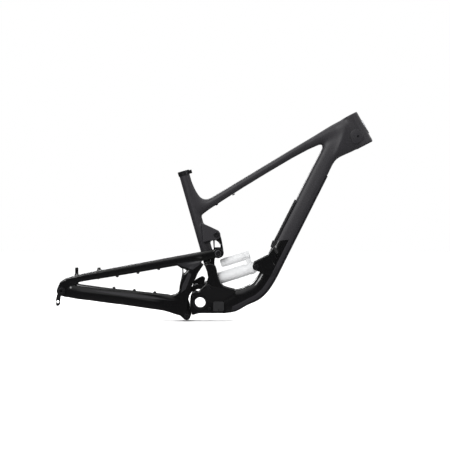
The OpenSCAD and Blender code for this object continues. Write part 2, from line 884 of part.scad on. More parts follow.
hanger_hole = [-459, 5.5];
hanger_hole_r = 4.5;
hanger_thick = 6;

module derailleur_hanger() {
  ring_r = 13.5;
  color(trim_black) mirror([0, 1, 0]) difference() {
    slab(dropout_out, dropout_out + hanger_thick) {
      translate(rear_axle) circle(ring_r, $fn = fine);
      bar([-456, 24], 7, hanger_hole, 7.6);
      polygon([[-465.5, 4], [-464.5, -7], [-462, -8.3], [-457, -8.3], [-451.5, -2], [-451, 6]]);
    }
    across(hanger_hole, hanger_hole_r, dropout_out - 1, dropout_out + hanger_thick + 1);
    across(rear_axle, axle_d / 2, dropout_out - 1, dropout_out + hanger_thick + 1);
  }
}

module hanger_bolt() {
  y = dropout_out + hanger_thick;
  color(alloy) mirror([0, 1, 0]) difference() {
    union() {
      across(rear_axle, 10.5, y, y + 2.5);
      across(rear_axle, 9.2, y + 2.5, y + 3.5);
    }
    across(rear_axle, axle_d / 2, y - 1, y + 5);
  }
}

module thru_axle() {
  right_end = dropout_out + hanger_thick + 1.5;
  color(trim_black) difference() {
    union() {
      across(rear_axle, axle_d / 2, -right_end, dropout_out);
      across(rear_axle, 9.5, dropout_out, dropout_out + 2.5);
      across(rear_axle, 8, dropout_out + 2.5, dropout_out + 4);
    }
    across(rear_axle, 3, dropout_out - 8, dropout_out + 10, 6);
    across(rear_axle, 3.6, -right_end - 1, -right_end + 14);
  }
}

module lower_stay_axle() {
  color(trim_black) {
    across(pivot_b, pivot_r, -stay_tip_out, stay_tip_out);
    both_sides() right_head(pivot_b, stay_tip_out, 8, axle_head, 3.5);
  }
}

module stay_bearings() {
  color(alloy) both_sides() difference() {
    across(pivot_d, stay_bearing_r, stay_boss_in + 0.5, stay_boss_out - 0.5);
    across(pivot_d, pivot_r + running, 0, 60);
  }
}

// Small clips that hold the brake hose to the left stays.
clips_under_seatstay = [[-339, 78, 75], [-276.3, 84.5, 70], [-207.3, 96, 64], [-138.3, 109, 57.5]];
clips_on_chainstay = [[-287, 43.5, 69], [-219, 36.5, 62.5], [-151, 29.5, 55.5]];

module hose_guides() {
  color(trim_black) for (p = concat(clips_under_seatstay, clips_on_chainstay))
    across([p[0], p[1]], 5.2, p[2] - 4, p[2] + 4, 32);
}

// ---- Shock ----

// Frame along the shock: children's +Z runs from its front pivot to its rear eye.
module on_shock() {
  along(pivot_f, shock_back) children();
}

can_start = 34;
can_end = 130;
shaft_r = 5;
reservoir_offset = 45;
head_half = 27.5;

module shock_head() {
  lug_r = 11;
  color(pale_grey) difference() {
    union() {
      on_shock() {
        translate([0, 0, 4]) cylinder(r = can_r - 1, h = can_start - 4, $fn = fine);
        translate([0, 0, 12]) cylinder(r = can_r + 0.8, h = 14, $fn = fine);
        translate([0, -9, 10]) cube([reservoir_offset, 18, 16]);
        translate([reservoir_offset, 0, 9]) cylinder(r = reservoir_r, h = 21, $fn = fine);
      }
      across(pivot_f, lug_r, -head_half, head_half);
    }
    both_sides() across(pivot_f, trunnion_r + running, 18.5, head_half + 1);
  }
}

module shock_air_can() {
  bore = 16.5;
  wall = 7;
  color(pale_grey) on_shock() difference() {
    union() {
      translate([0, 0, can_start]) cylinder(r = can_r, h = can_end - can_start - 3, $fn = fine);
      translate([0, 0, can_start + 30]) cylinder(r = can_r + 0.7, h = 6, $fn = fine);
      cylinder(r = can_r - 2, h = can_end, $fn = fine);
    }
    translate([0, 0, -1]) cylinder(r = can_r + 4, h = can_start + 1, $fn = fine);
    translate([0, 0, can_start + 3]) cylinder(r = bore, h = can_end - wall - can_start - 3, $fn = fine);
    translate([0, 0, can_end - 20]) cylinder(r = shaft_r + 0.1, h = 30, $fn = fine);
  }
}

module shock_reservoir() {
  start = 30;
  end = 108;
  color(pale_grey) on_shock() translate([reservoir_offset, 0, start]) {
    cylinder(r = reservoir_r, h = end - start - 14, $fn = fine);
    translate([0, 0, end - start - 14]) cylinder(r = reservoir_r - 1, h = 10, $fn = fine);
    translate([0, 0, end - start - 4]) cylinder(r1 = reservoir_r - 1, r2 = reservoir_r - 4, h = 4, $fn = fine);
  }
}

lever_at = 16;            // distance of the lever's axis along the shock
lever_y = reservoir_r;

module compression_lever() {
  color(alloy) on_shock() translate([reservoir_offset, -lever_y - 0.3, lever_at]) rotate([90, 0, 0]) {
    cylinder(r = 6, h = 3, $fn = fine);
    translate([-3, 0, 0]) cube([6, 20, 2.4]);
  }
}

module shock_shaft() {
  piston_r = 16.2;
  color(pale_grey) on_shock() {
    translate([0, 0, 112]) cylinder(r = shaft_r, h = shock_length - 112 - 10.5, $fn = fine);
    translate([0, 0, 112]) cylinder(r = piston_r, h = 8, $fn = fine);
  }
}

module shock_eyelet() {
  eye_r = 11;
  eye_half = 20;
  color(pale_grey) difference() {
    union() {
      across(pivot_e, eye_r, -eye_half, eye_half);
      on_shock() translate([0, 0, shock_length - 18]) cylinder(r = 8.5, h = 14, $fn = fine);
    }
    across(pivot_e, shock_bolt_r + shock_eye_play, -eye_half - 1, eye_half + 1);
    on_shock() translate([0, 0, shock_length - 19]) cylinder(r = shaft_r, h = 8.5, $fn = fine);
  }
}

module rebound_knob() {
  color("#a33b35") on_shock() translate([0, 0, shock_length - 23.6]) difference() {
    union() {
      cylinder(r = 8.5, h = 5.2, $fn = fine);
      for (a = [0 : 30 : 330]) rotate(a) translate([8.2, 0, 0]) cylinder(r = 1.1, h = 5.2, $fn = 16);
    }
    translate([0, 0, -1]) cylinder(r = shaft_r + running, h = 8, $fn = fine);
  }
}

head_tube();
top_tube();
down_tube();
seat_tube();
link_bracket();
seat_tower();
tower_bridge();
bottom_bracket_block();
bottom_bracket_sleeve();
shock_mount();
seat_clamp();
seat_clamp_bolt();
cable_port_left();
cable_port_right();
cable_port_bolts();
head_badge();
storage_door();
storage_latch();
bottle_bolts();
top_tube_bolts();
down_tube_guard();
chain_guide_cover();
chain_guide_bolts();
upper_pivot_axle();
lower_pivot_bolts();
shock_front_bolts();
upper_link_left();
upper_link_right();
upper_link_crossbar();
stay_pivot_axle();
shock_rear_bolt();
upper_link_bearings();
lower_link();
lower_link_bearings();
chainstay_left();
chainstay_right();
seatstay_left();
seatstay_right();
upright_left();
upright_right();
upright_brace();
stay_lugs_left();
stay_lugs_right();
stay_bridges();
dropout_left();
dropout_right();
brake_posts();
derailleur_hanger();
hanger_bolt();
thru_axle();
lower_stay_axle();
stay_bearings();
hose_guides();
shock_air_can();
shock_head();
shock_reservoir();
compression_lever();
shock_shaft();
shock_eyelet();
rebound_knob();
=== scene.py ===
import functools
import json
import math

import bmesh
import bpy
import numpy as np
from mathutils import Matrix, Vector

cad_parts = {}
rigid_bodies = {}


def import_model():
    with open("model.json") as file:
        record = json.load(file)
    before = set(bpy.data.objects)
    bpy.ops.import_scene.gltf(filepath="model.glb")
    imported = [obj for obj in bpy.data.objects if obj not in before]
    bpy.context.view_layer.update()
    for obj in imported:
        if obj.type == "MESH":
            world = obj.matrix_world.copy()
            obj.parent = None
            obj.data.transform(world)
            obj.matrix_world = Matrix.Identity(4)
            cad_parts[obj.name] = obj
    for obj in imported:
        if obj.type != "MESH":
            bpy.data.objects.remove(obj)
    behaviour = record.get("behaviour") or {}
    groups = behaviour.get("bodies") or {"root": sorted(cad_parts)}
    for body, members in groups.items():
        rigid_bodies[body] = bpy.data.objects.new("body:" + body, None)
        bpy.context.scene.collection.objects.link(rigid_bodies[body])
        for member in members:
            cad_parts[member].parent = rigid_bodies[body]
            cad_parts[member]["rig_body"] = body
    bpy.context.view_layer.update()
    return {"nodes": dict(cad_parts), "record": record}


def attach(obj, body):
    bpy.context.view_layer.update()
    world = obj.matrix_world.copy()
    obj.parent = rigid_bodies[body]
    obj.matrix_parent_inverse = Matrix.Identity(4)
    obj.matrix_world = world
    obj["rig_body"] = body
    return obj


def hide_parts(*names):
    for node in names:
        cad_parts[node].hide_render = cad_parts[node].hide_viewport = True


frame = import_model()
nodes = frame["nodes"]
MM = 0.001

# ---------------------------------------------------------------- places in the frame, as in the CAD


def at(x, y, z):
    """A place given in millimetres."""
    return Vector((x, y, z)) * MM


def turned(angle):
    """Unit vector in the side plane, at an angle in degrees above straight forward."""
    return Vector((math.cos(math.radians(angle)), 0, math.sin(math.radians(angle))))


SIDE = Vector((0, 1, 0))
UP = Vector((0, 0, 1))
HEAD_UP = turned(180 - 62.3)
HEAD_ACROSS = Vector((HEAD_UP.z, 0, -HEAD_UP.x))
HEAD_TOP = at(489, 0, 613)
HEAD_LENGTH = 111.5 * MM
HEAD_BOTTOM = HEAD_TOP - HEAD_LENGTH * HEAD_UP
SEAT_UP = turned(90 + 15.9)
SEAT_BASE = at(31.6, 0, 124)
SEAT_LENGTH = (426 - 124) * MM / SEAT_UP.z
SEAT_TOP = SEAT_BASE + SEAT_LENGTH * SEAT_UP
STAY_PIVOT = at(58.5, 0, 161)
BRAKE_POSTS = (at(-337, 76.5, 113), at(-411.2, 76.5, 113))

# ---------------------------------------------------------------- mesh helpers


def added(name, mesh):
    piece = bpy.data.objects.new(name, mesh)
    bpy.context.scene.collection.objects.link(piece)
    return piece


def built(name, bm):
    """Object holding a finished bmesh."""
    mesh = bpy.data.meshes.new(name)
    bm.to_mesh(mesh)
    bm.free()
    return added(name, mesh)


def modify(piece, kind, **settings):
    """Adds a modifier to the piece and applies it."""
    modifier = piece.modifiers.new(kind.lower(), kind)
    for key, value in settings.items():
        setattr(modifier, key, value)
    graph = bpy.context.evaluated_depsgraph_get()
    mesh = bpy.data.meshes.new_from_object(piece.evaluated_get(graph))
    old = piece.data
    piece.modifiers.clear()
    piece.data = mesh
    bpy.data.meshes.remove(old)
    return piece


def dropped(piece):
    mesh = piece.data
    bpy.data.objects.remove(piece)
    bpy.data.meshes.remove(mesh)


def joined(name, sources):
    """One object holding copies of several meshes, welded."""
    bm = bmesh.new()
    for source in sources:
        bm.from_mesh(source)
    bmesh.ops.remove_doubles(bm, verts=bm.verts, dist=1e-6)
    return built(name, bm)


def basis(axis):
    """Rotation that takes +Z to the axis, with +Y kept as close to the frame's +Y as it can be."""
    z = axis.normalized()
    y = SIDE if abs(z.y) < 0.9 else Vector((1, 0, 0))
    x = y.cross(z).normalized()
    y = z.cross(x)
    return Matrix((x, y, z)).transposed().to_4x4()


def lathe(name, profile, origin, axis, count):
    """Solid of revolution: profile is (radius, height) pairs in mm, from one end to the other."""
    bm = bmesh.new()
    rings = []
    for radius, height in profile:
        ring = []
        for k in range(count):
            angle = 2 * math.pi * k / count
            x, y = radius * MM * math.cos(angle), radius * MM * math.sin(angle)
            ring.append(bm.verts.new((x, y, height * MM)))
        rings.append(ring)
    for low, high in zip(rings, rings[1:]):
        for k in range(count):
            n = (k + 1) % count
            bm.faces.new((low[k], low[n], high[n], high[k]))
    bm.faces.new(rings[0][::-1])
    bm.faces.new(rings[-1])
    bmesh.ops.recalc_face_normals(bm, faces=bm.faces)
    piece = built(name, bm)
    piece.data.transform(Matrix.Translation(origin) @ basis(axis))
    return piece


def rod(name, origin, axis, radius, start, end, count):
    """Cylinder along an axis, between two distances from the origin, in mm."""
    return lathe(name, [(radius, start), (radius, end)], origin, axis, count)


def slab(name, outline, y0, y1):
    """Side outline in mm made solid between two distances from the middle."""
    bm = bmesh.new()
    low = [bm.verts.new((x * MM, y0 * MM, z * MM)) for x, z in outline]
    high = [bm.verts.new((x * MM, y1 * MM, z * MM)) for x, z in outline]
    bm.faces.new(low)
    bm.faces.new(high[::-1])
    for k in range(len(low)):
        n = (k + 1) % len(low)
        bm.faces.new((low[n], low[k], high[k], high[n]))
    bmesh.ops.recalc_face_normals(bm, faces=bm.faces)
    return built(name, bm)


def cut(piece, *cutters):
    """Takes the cutters out of the piece."""
    for cutter in cutters:
        modify(piece, "BOOLEAN", operation="DIFFERENCE", solver="MANIFOLD", object=cutter)
        dropped(cutter)
    return piece


def voxel(piece, size, smoothing):
    """Fuses the piece's solids into one skin of even faces."""
    modify(piece, "REMESH", mode="VOXEL", voxel_size=size * MM, use_smooth_shade=True)
    modify(piece, "SMOOTH", factor=0.5, iterations=smoothing)


def read(mesh, field):
    """A vector that each vertex of a mesh has, one row a vertex."""
    values = np.empty(len(mesh.vertices) * 3)
    mesh.vertices.foreach_get(field, values)
    return values.reshape(-1, 3)


def write(mesh, co):
    mesh.vertices.foreach_set("co", co.ravel())
    mesh.update()


def ramp(value, length):
    """Rises from 0 at 0 to 1 at a length, and stays there."""
    return np.clip(value / length, 0, 1)


def fill_creases(piece, rounds, step=0.5):
    """Rounds inside corners: only points whose neighbours lie outward of them move, and they move outward."""
    rounds_per_normal = 4
    mesh = piece.data
    count = len(mesh.vertices)
    co = read(mesh, "co")
    pairs = np.empty(len(mesh.edges) * 2, np.int64)
    mesh.edges.foreach_get("vertices", pairs)
    first = np.concatenate((pairs[0::2], pairs[1::2]))
    second = np.concatenate((pairs[1::2], pairs[0::2]))
    valence = np.maximum(np.bincount(first, minlength=count), 1)

    def around(values):
        return np.bincount(first, values[second], count) / valence

    for k in range(rounds):
        if k % rounds_per_normal == 0:
            write(mesh, co)
            normal = read(mesh, "normal")
        pull = np.stack([around(co[:, i]) for i in range(3)], 1) - co
        out = (pull * normal).sum(1)
        out = np.maximum(0, 0.5 * out + 0.5 * around(out))
        co = co + step * out[:, None] * normal
    write(mesh, co)


def smooth(piece, angle):
    """Smooth shading, with edges sharper than the angle kept crisp."""
    for polygon in piece.data.polygons:
        polygon.use_smooth = True
    bm = bmesh.new()
    bm.from_mesh(piece.data)
    limit = math.radians(angle)
    for edge in bm.edges:
        edge.smooth = len(edge.link_faces) == 2 and edge.calc_face_angle(0) < limit
    bm.to_mesh(piece.data)
    bm.free()


def finished(piece, body, slot, material, *replaced):
    piece.data.materials.clear()
    piece.data.materials.append(material)
    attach(piece, body)
    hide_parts(*replaced)


# ---------------------------------------------------------------- materials


class Paint:
    """A Principled material with helpers that place procedural nodes in object space."""

    def __init__(self, name, **settings):
        self.material = bpy.data.materials.new(name)
        self.material.use_nodes = True
        self.tree = self.material.node_tree
        self.shader = self.tree.nodes["Principled BSDF"]
        for key, value in settings.items():
            self.shader.inputs[key].default_value = value
        self.place = self.node("ShaderNodeTexCoord").outputs["Object"]

    def node(self, kind, **settings):
        made = self.tree.nodes.new(kind)
        for key, value in settings.items():
            setattr(made, key, value)
        return made

    def put(self, value, socket):
        """Links a node's output to a socket, or sets a number or an RGB colour on it."""
        if isinstance(value, tuple):
            socket.default_value = (*value, 1)
        elif isinstance(value, (int, float)):
            socket.default_value = value
        else:
            self.tree.links.new(value, socket)

    def noise(self, scale, detail, rough=0.55):
        made = self.node("ShaderNodeTexNoise")
        for key, number in (("Scale", scale), ("Detail", detail), ("Roughness", rough)):
            self.put(number, made.inputs[key])
        self.put(self.place, made.inputs["Vector"])
        return made.outputs["Fac"]

    def cells(self, scale):
        made = self.node("ShaderNodeTexVoronoi")
        self.put(scale, made.inputs["Scale"])
        self.put(self.place, made.inputs["Vector"])
        return made.outputs["Distance"]

    def math(self, operation, a, b):
        made = self.node("ShaderNodeMath", operation=operation)
        self.put(a, made.inputs[0])
        self.put(b, made.inputs[1])
        return made.outputs[0]

    def extreme(self, operation, values):
        """The MINIMUM or MAXIMUM of several values."""
        return functools.reduce(lambda a, b: self.math(operation, a, b), values)

    def span(self, value, low, high, to_low=0.0, to_high=1.0):
        made = self.node("ShaderNodeMapRange")
        self.put(value, made.inputs["Value"])
        for key, number in (("From Min", low), ("From Max", high), ("To Min", to_low), ("To Max", to_high)):
            self.put(number, made.inputs[key])
        return made.outputs["Result"]

    def blend(self, factor, first, second):
        """Mixes two colours."""
        made = self.node("ShaderNodeMix", data_type="RGBA")
        self.put(factor, made.inputs["Factor"])
        self.put(first, made.inputs[6])
        self.put(second, made.inputs[7])
        return made.outputs[2]

    def mix(self, factor, first, second):
        """Mixes two numbers."""
        made = self.node("ShaderNodeMix")
        self.put(factor, made.inputs["Factor"])
        self.put(first, made.inputs[2])
        self.put(second, made.inputs[3])
        return made.outputs[0]

    def past(self, x, z, limit):
        """How far past a line in the side plane a point is: x*X + z*Z - limit, in mm."""
        made = self.node("ShaderNodeVectorMath", operation="DOT_PRODUCT")
        self.put(self.place, made.inputs[0])
        made.inputs[1].default_value = (x / MM, 0, z / MM)
        return self.math("SUBTRACT", made.outputs["Value"], limit)

    def inside(self, planes):
        """How far inside a convex polygon of half planes a point is, in mm."""
        return self.extreme("MINIMUM", [self.past(*plane) for plane in planes])

    def bump(self, height, strength, distance):
        made = self.node("ShaderNodeBump")
        self.put(strength, made.inputs["Strength"])
        self.put(distance * MM, made.inputs["Distance"])
        self.put(height, made.inputs["Height"])
        last = self.shader.inputs["Normal"].links
        if last:
            self.put(last[0].from_socket, made.inputs["Normal"])
        self.put(made.outputs["Normal"], self.shader.inputs["Normal"])

    def colour(self, value):
        self.put(value, self.shader.inputs["Base Color"])

    def roughness(self, value):
        self.put(value, self.shader.inputs["Roughness"])


def half_planes(corners):
    """Convex polygon in the side plane, given anticlockwise in mm, as the half planes that bound it."""
    planes = []
    for (x0, z0), (x1, z1) in zip(corners, corners[1:] + corners[:1]):
        long = math.hypot(x1 - x0, z1 - z0)
        x, z = -(z1 - z0) / long, (x1 - x0) / long
        planes.append((x, z, x * x0 + z * z0))
    return planes


CHARCOAL = ((0.011, 0.0103, 0.0125), (0.015, 0.014, 0.017))
FLAKE = (0.03, 0.029, 0.034)
BLACK = ((0.0018, 0.0018, 0.002), (0.004, 0.004, 0.0043))
# Colour of a facet on the bottom bracket block, a little lighter than the black around it: a painted highlight
# where the facet catches the light.
BLOCK_PAINTED_HIGHLIGHT = (0.0032, 0.0031, 0.0034)
# Colour of facets on the stays, as light as the charcoal: painted highlights where these facets catch the light.
STAY_PAINTED_HIGHLIGHT = (0.011, 0.0108, 0.0125)

# Where charcoal meets black. Each line is a unit normal (x, z) in the side plane and its distance from the
# origin in mm.
TUBE_SPLIT = (-0.126, 0.992, 167.4)
TOWER_SPLIT = (0.12, 0.993, 146)
SPLIT_CHANGE = 90  # x behind which the tower's line counts, and ahead of which the down tube's does
ELBOW_OUTSIDE = (
    (0.8926, -0.4509, 185.2), (0.8298, -0.5588, 162.3), (0.651, -0.76, 117.0), (0.445, -0.895, 76.9),
)
STRIP_WIDTH = 19  # charcoal that runs on along the outside of the elbow
STRIP_END = 104
# The bottom bracket block's facet that gets the painted highlight colour and a rougher finish, as half planes.
BLOCK_HIGHLIGHT_AREA = (
    (-0.217, -0.976, -61.9), (-0.514, 0.858, -30.5), (0.095, 0.995, 4.5), (0.625, 0.78, 24.0),
    (0.61, -0.79, -28),
)
# Areas on the stays that get the painted highlight colour and a rougher finish, as half planes.
STAY_HIGHLIGHT_AREAS = (
    half_planes([(-29, 104), (-6, 120), (15, 139), (-41, 133), (-81, 126.6), (-64, 121)]),
    half_planes([(-46, 45), (-28, 92), (-37, 99), (-56, 60), (-62, 32.5)]),
    half_planes([(-230, 21), (-100, -1), (-85, 8), (-230, 31), (-375, 44), (-375, 34.5)]),
)


def charcoal_mask(p):
    """1 where the front triangle is charcoal and 0 where it is black."""
    strip = p.extreme("MAXIMUM", [p.past(x, z, limit - STRIP_WIDTH) for x, z, limit in ELBOW_OUTSIDE])
    strip = p.math("MINIMUM", strip, p.past(1, 0, STRIP_END))
    tube = p.math("MAXIMUM", p.past(*TUBE_SPLIT), strip)
    forward = p.span(p.past(1, 0, SPLIT_CHANGE), -0.5, 0.5)
    tower = p.math("MULTIPLY", p.past(*TOWER_SPLIT), p.math("SUBTRACT", 1, forward))
    return p.span(p.math("ADD", p.math("MULTIPLY", tube, forward), tower), -0.35, 0.35)


def frame_paint(name, two_tone):
    """Gloss black carbon: with satin charcoal above it on the front triangle and a painted highlight on a facet
    of the bottom bracket block, or with painted highlights on facets of the rear.
    """
    p = Paint(name, **{"Metallic": 0.0, "IOR": 1.45, "Specular IOR Level": 0.36 if two_tone else 0.28})
    cloud = p.noise(9, 4)
    grain = p.noise(900, 2)
    gloss = p.blend(cloud, *BLACK)
    gloss_rough = p.span(grain, 0.3, 0.7, 0.12, 0.17)
    if two_tone:
        # Painted highlight: the block's facet is coloured a little lighter than the black, and made rougher.
        facet = p.span(p.inside(BLOCK_HIGHLIGHT_AREA), -0.5, 0.5)
        gloss = p.blend(facet, gloss, BLOCK_PAINTED_HIGHLIGHT)
        gloss_rough = p.mix(facet, gloss_rough, 0.28)
        flakes = p.span(p.cells(5200), 0.0, 0.28, 0.22, 0.0)
        matte = p.blend(flakes, p.blend(cloud, *CHARCOAL), FLAKE)
        mask = charcoal_mask(p)
        p.colour(p.blend(mask, gloss, matte))
        p.roughness(p.mix(mask, gloss_rough, p.span(grain, 0.3, 0.7, 0.44, 0.52)))
    else:
        # Painted highlights: the stays' facets are coloured as light as the charcoal, and made rougher.
        facets = p.extreme("MAXIMUM", [p.inside(polygon) for polygon in STAY_HIGHLIGHT_AREAS])
        facets = p.span(facets, -0.7, 0.7)
        p.colour(p.blend(facets, gloss, STAY_PAINTED_HIGHLIGHT))
        p.roughness(p.mix(facets, gloss_rough, 0.4))
    p.bump(p.noise(420, 2), 0.08, 0.05)
    p.bump(p.noise(36, 2), 0.06, 0.5)
    return p.material


def metal(name, dark, light, rough, metallic=1.0):
    p = Paint(name, Metallic=metallic)
    wear = p.noise(60, 5)
    lines = p.noise(1500, 3, 0.6)
    p.colour(p.blend(p.math("MULTIPLY", p.math("ADD", wear, lines), 0.5), dark, light))
    p.roughness(p.span(lines, 0.3, 0.7, rough - 0.06, rough + 0.08))
    p.bump(lines, 0.12, 0.05)
    return p.material


def moulded(name, dark, light, rough, scale=700, depth=0.12):
    p = Paint(name, **{"Metallic": 0.0, "Specular IOR Level": 0.4})
    p.colour(p.blend(p.noise(40, 5), dark, light))
    p.roughness(p.span(p.noise(300, 3), 0.3, 0.7, rough - 0.05, rough + 0.07))
    p.bump(p.cells(scale), 0.25, depth)
    return p.material


frame_two_tone = frame_paint("charcoal_over_black", True)
frame_black = frame_paint("gloss_black", False)
charcoal = frame_paint("charcoal", True)
shock_grey = metal("shock_finish", (0.49, 0.495, 0.5), (0.53, 0.535, 0.54), 0.6, metallic=0.0)
MATERIAL = {
    "matte_charcoal_carbon": charcoal,
    "gloss_black_carbon": frame_black,
    "pale_shock": shock_grey,
    "bare_alloy": metal("alloy", (0.34, 0.35, 0.37), (0.58, 0.59, 0.62), 0.3),
    "black_alloy": metal("black_anodised", (0.012, 0.012, 0.013), (0.035, 0.035, 0.038), 0.3, metallic=0.85),
    "black_plastic": moulded("black_plastic", (0.007, 0.007, 0.008), (0.012, 0.012, 0.013), 0.42),
    "rubber_guard": moulded("rubber", (0.014, 0.014, 0.015), (0.024, 0.024, 0.026), 0.6, 420, 0.2),
    "knob_red": metal("red_anodised", (0.32, 0.03, 0.025), (0.5, 0.06, 0.04), 0.26),
}
SLOT = {part["node"]: part["material_slot"] for part in frame["record"]["subparts"]}
LOOK = {"compression_lever": shock_grey}  # drawn pale, like the rest of the shock

# ---------------------------------------------------------------- soft facets on the carbon

# Crest line of the two facets on the side of the down tube, which runs on up to the head tube.
CREST = np.array([
    (196, -40), (248, 64), (312, 192.5), (365.4, 317.9), (437.6, 462.5), (462.5, 531.4), (481.5, 581.6),
])
# Crest line of the chainstay's side, and lines near the upper and lower edge of the seatstay's, back to front.
CHAINSTAY_CREST = [(-431, 44), (-365, 34.5), (-263, 22), (-108, -2)]
SEATSTAY_TOP = [(-380, 90.5), (-300, 105), (-200, 123.5), (0, 159), (38, 166)]
SEATSTAY_FOOT = [(-380, 80), (-300, 92), (-200, 109.5), (0, 144.5), (38, 151)]


def facet_sides(piece, slope=0.34, deepest=8):
    """Leans the tubes' sides away from the crest line, so that the two facets catch the light differently."""
    half_width = 29
    rounding = 2
    co = read(piece.data, "co") / MM
    flat = co[:, [0, 2]]
    nearest = np.full(len(co), 1e9)
    for start, end in zip(CREST, CREST[1:]):
        way = end - start
        t = np.clip(((flat - start) @ way) / (way @ way), 0, 1)
        nearest = np.minimum(nearest, np.hypot(*(flat - start - t[:, None] * way).T))
    axis = np.array((HEAD_UP.x, HEAD_UP.z))
    off = flat - np.array((HEAD_BOTTOM.x, HEAD_BOTTOM.z)) / MM
    from_head = np.abs(off[:, 0] * axis[1] - off[:, 1] * axis[0])
    fade = ramp(from_head - 24, 34) * ramp(160 - nearest, 60) * ramp(co[:, 0] - 150, 60)
    rounded = np.sqrt(nearest ** 2 + rounding ** 2) - rounding
    limited = deepest / slope * (1 - np.exp(-nearest * slope / deepest))
    co[:, 1] *= 1 - np.minimum(rounded, limited) * slope * fade / half_width
    write(piece.data, co * MM)


def chamfer(piece, line, slope, deepest, side, reach):
    """Leans the outer face back on one side of a line in the side plane: side 1 is above it and -1 below."""
    end_fade = 50
    reach_fade = 8
    co, normal = read(piece.data, "co") / MM, read(piece.data, "normal")
    line = np.array(line, float)
    past = (co[:, 2] - np.interp(co[:, 0], line[:, 0], line[:, 1])) * side
    fade = ramp(co[:, 0] - line[0, 0], end_fade) * ramp(line[-1, 0] - co[:, 0], end_fade)
    fade *= ramp(reach - np.abs(past), reach_fade)
    outward = np.sign(co[:, 1])
    facing = np.clip(normal[:, 1] * outward * 1.6 + 0.1, 0, 1)
    co[:, 1] -= outward * np.minimum(np.clip(past, 0, None) * slope, deepest) * fade * facing
    write(piece.data, co * MM)


# ---------------------------------------------------------------- carbon shells

FRONT_BLOCKS = ("link_bracket", "seat_tower", "tower_bridge", "bottom_bracket_block", "shock_mount")
TRIM = 0.3  # how far inside the tubes' true ends they are cut square


def head_radii():
    """The head tube's outer radius at its bottom and top, in mm."""
    co = np.array([v.co - HEAD_BOTTOM for v in nodes["head_tube"].data.vertices])
    axis = np.array(HEAD_UP)
    height = co @ axis
    radius = np.sqrt(((co - np.outer(height, axis)) ** 2).sum(1)) / MM
    return radius[height < 2 * MM].max(), radius[height > HEAD_LENGTH - 2 * MM].max()


def pocket(node, gap):
    """A node's shape grown by a gap, to be cut out of what surrounds it."""
    piece = joined("pocket", [nodes[node].data])
    return modify(piece, "DISPLACE", strength=gap * MM, mid_level=0)


def head_bore():
    """The two headset seats and the narrower bore between them."""
    lower, upper, middle, seat = 52.1 / 2, 22, 20, 12
    top = HEAD_LENGTH / MM
    profile = [(lower, -30), (lower, seat), (middle, seat)]
    profile += [(middle, top - seat), (upper, top - seat), (upper, top + 30)]
    return lathe("bore", profile, HEAD_BOTTOM, HEAD_UP, 96)


def front_shell():
    """The front triangle's carbon as one skin: first the tubes, then the blocks that grow out of them."""
    low, high = head_radii()
    head = lathe("head", [(low, 0), (high, HEAD_LENGTH / MM)], HEAD_BOTTOM, HEAD_UP, 128)
    post = rod("post", SEAT_BASE, SEAT_UP, 17.45, 0, SEAT_LENGTH / MM, 96)
    tubes = joined("tubes", [head.data, post.data, nodes["top_tube"].data, nodes["down_tube"].data])
    voxel(tubes, 2.6, 3)
    fill_creases(tubes, 110)
    facet_sides(tubes)
    shell = joined("front_shell", [tubes.data] + [nodes[name].data for name in FRONT_BLOCKS])
    for piece in (head, post, tubes):
        dropped(piece)
    voxel(shell, 2.0, 4)
    fill_creases(shell, 24)
    modify(shell, "SMOOTH", factor=0.5, iterations=3)
    cut(
        shell,
        head_bore(),
        rod("trim", HEAD_TOP, HEAD_UP, 90, -TRIM, 40, 48),
        rod("trim", HEAD_BOTTOM, -HEAD_UP, 90, -TRIM, 40, 48),
        rod("bore", SEAT_TOP, SEAT_UP, 15.45, -210, 30, 96),
        rod("trim", SEAT_TOP, SEAT_UP, 60, -TRIM, 30, 48),
        rod("bore", Vector(), SIDE, 21.6, -60, 60, 128),
        pocket("storage_door", 0.2),
    )
    smooth(shell, 50)
    finished(
        shell, "front_triangle", "gloss_black_carbon", frame_two_tone,
        "head_tube", "top_tube", "down_tube", "seat_tube", *FRONT_BLOCKS,
    )


def rear_shell():
    """The rear triangle's carbon as one skin."""
    kinds = ("chainstay", "seatstay", "upright", "stay_lugs", "dropout")
    names = [f"{kind}_{side}" for side in ("left", "right") for kind in kinds]
    names += ["stay_bridges", "upright_brace", "brake_posts"]
    shell = joined("rear_shell", [nodes[name].data for name in names])
    voxel(shell, 1.8, 4)
    fill_creases(shell, 40)
    chamfer(shell, CHAINSTAY_CREST, 0.3, 5, 1, 26)
    chamfer(shell, [(x, z - 9) for x, z in CHAINSTAY_CREST], 0.22, 4.5, -1, 34)
    chamfer(shell, SEATSTAY_TOP, 0.5, 2.5, 1, 12)
    chamfer(shell, SEATSTAY_FOOT, 0.4, 3, -1, 13)
    modify(shell, "SMOOTH", factor=0.5, iterations=3)
    cut(shell, *[rod("bore", STAY_PIVOT, SIDE * sign, 10, 41.4, 60, 96) for sign in (-1, 1)])
    cut(shell, *[rod("bore", post, UP, 2.55, -9, 20, 32) for post in BRAKE_POSTS])
    smooth(shell, 50)
    finished(shell, "rear_triangle", "gloss_black_carbon", frame_black, *names)


